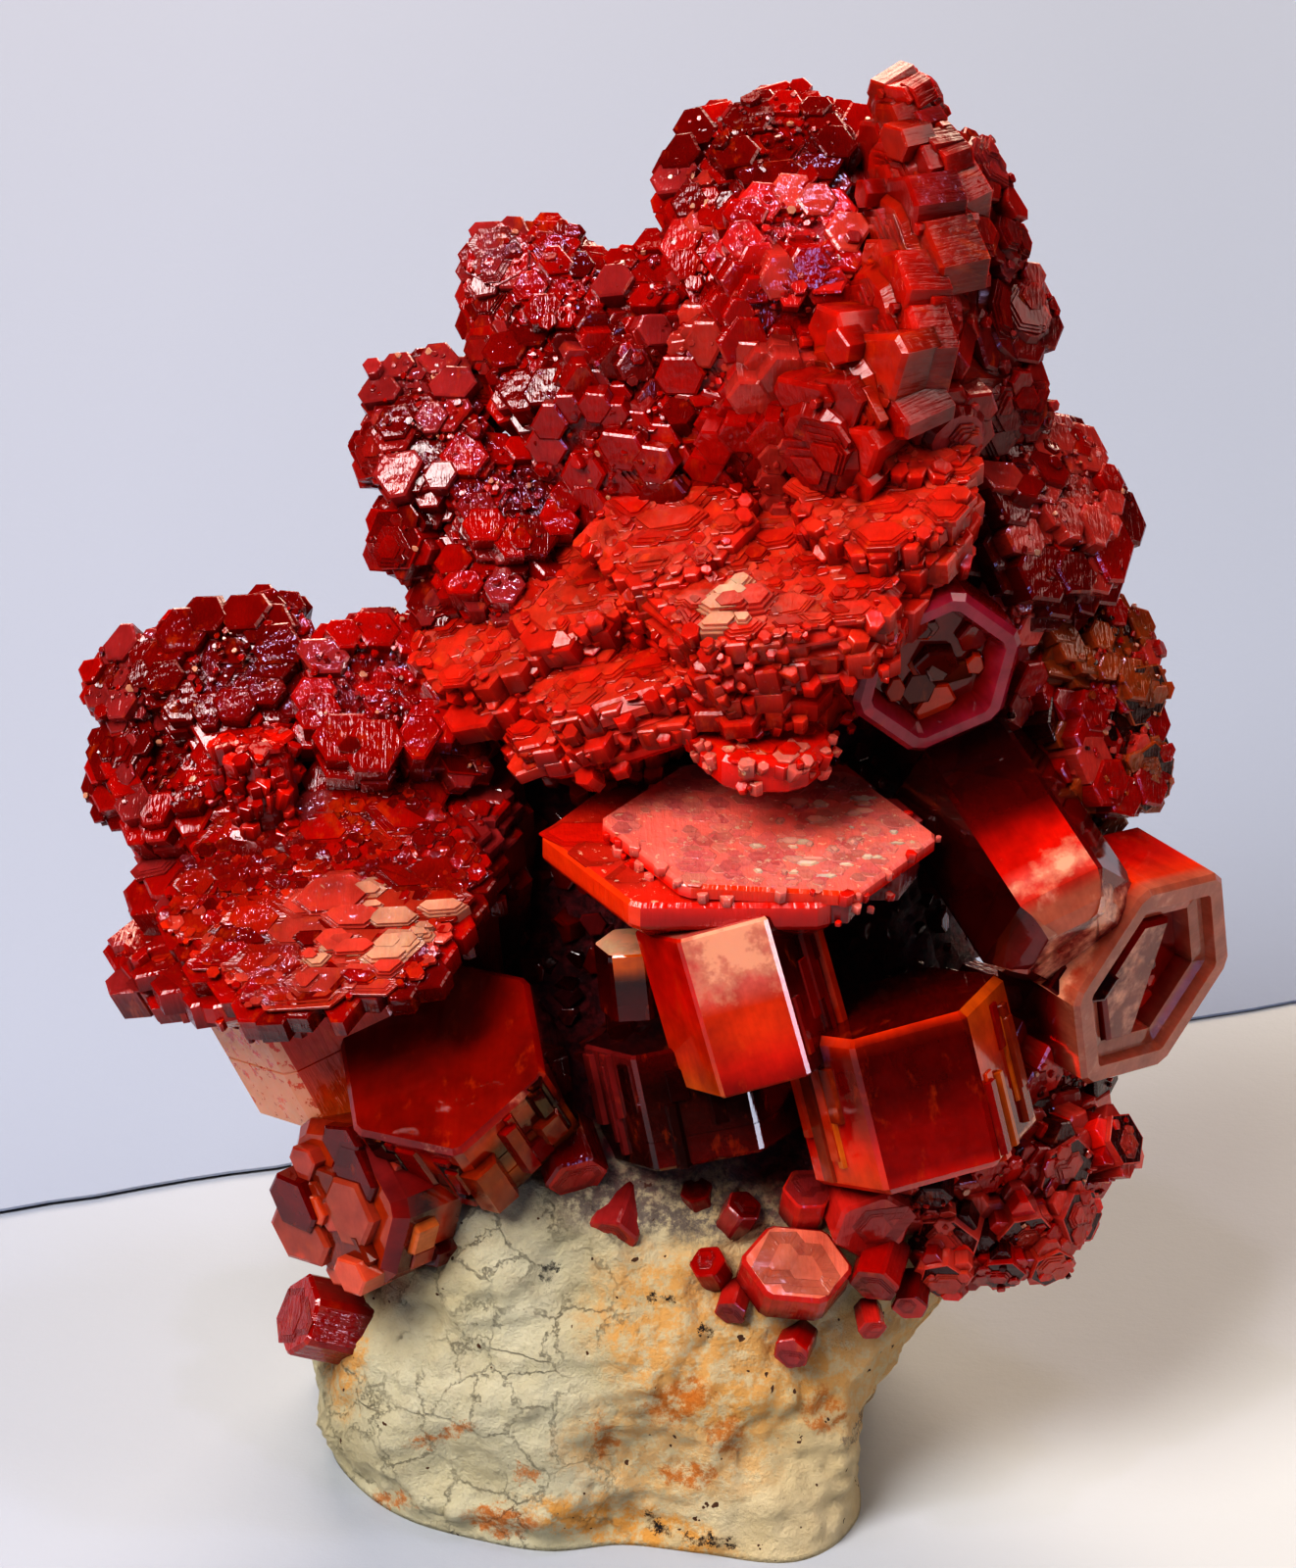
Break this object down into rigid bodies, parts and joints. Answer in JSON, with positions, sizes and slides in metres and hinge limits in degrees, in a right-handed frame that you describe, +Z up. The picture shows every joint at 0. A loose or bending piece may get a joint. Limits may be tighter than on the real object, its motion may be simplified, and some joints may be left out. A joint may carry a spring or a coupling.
{
  "type": "vanadinite on matrix",
  "caption": "Mineral specimen: red hexagonal vanadinite crystals, tablets, prisms and rosettes, on a pale clay rock cut flat to stand on.",
  "frame": {"origin": "on the flat cut under the rock, at the middle of the specimen's width", "axes": "+Z up; the crystals face -Y and lean back; +X to the right as seen from the front"},
  "size_m": [0.0471, 0.0276, 0.0569],
  "materials": {
    "dark_red_crystal": "lustrous dark red crystal faces",
    "bright_red_crystal": "bright red, finely pitted crystal faces",
    "frosted_red_crystal": "pinkish frosted face over red",
    "clear_orange_crystal": "clear orange red, glossy with fine lines along the prism",
    "clay_rock": "matt pale clay rock with rusty stains and fine cracks"
  },
  "bodies": {
    "root": {"matrix": "clay_rock", "left_fan": "dark_red_crystal", "middle_finger": "dark_red_crystal", "upper_left_finger": "dark_red_crystal", "crown": "dark_red_crystal", "crest": "bright_red_crystal", "central_mass": "bright_red_crystal", "lens_crystal": "bright_red_crystal", "hollow_tablet": "dark_red_crystal", "upper_right_rosette": "dark_red_crystal", "right_edge_rosette": "dark_red_crystal", "big_tablet": "frosted_red_crystal", "small_prism": "dark_red_crystal", "front_prism": "clear_orange_crystal", "wide_prism": "clear_orange_crystal", "dark_prism": "dark_red_crystal", "right_block": "dark_red_crystal", "right_tablet": "clear_orange_crystal", "lower_left_block": "clear_orange_crystal", "corner_crystal": "clear_orange_crystal", "left_side_crystal": "dark_red_crystal", "druse": "dark_red_crystal", "back_druse": "dark_red_crystal", "slab_crystal": "dark_red_crystal", "twin_crystal": "dark_red_crystal", "pink_prism": "dark_red_crystal", "round_crystal": "dark_red_crystal", "leaning_crystal": "dark_red_crystal", "pair_crystal": "dark_red_crystal", "low_crystal": "dark_red_crystal", "dot_crystal": "dark_red_crystal", "dusky_crystal": "dark_red_crystal", "corner_small_crystal": "dark_red_crystal", "square_crystal": "dark_red_crystal"}
  },
  "joints": []
}
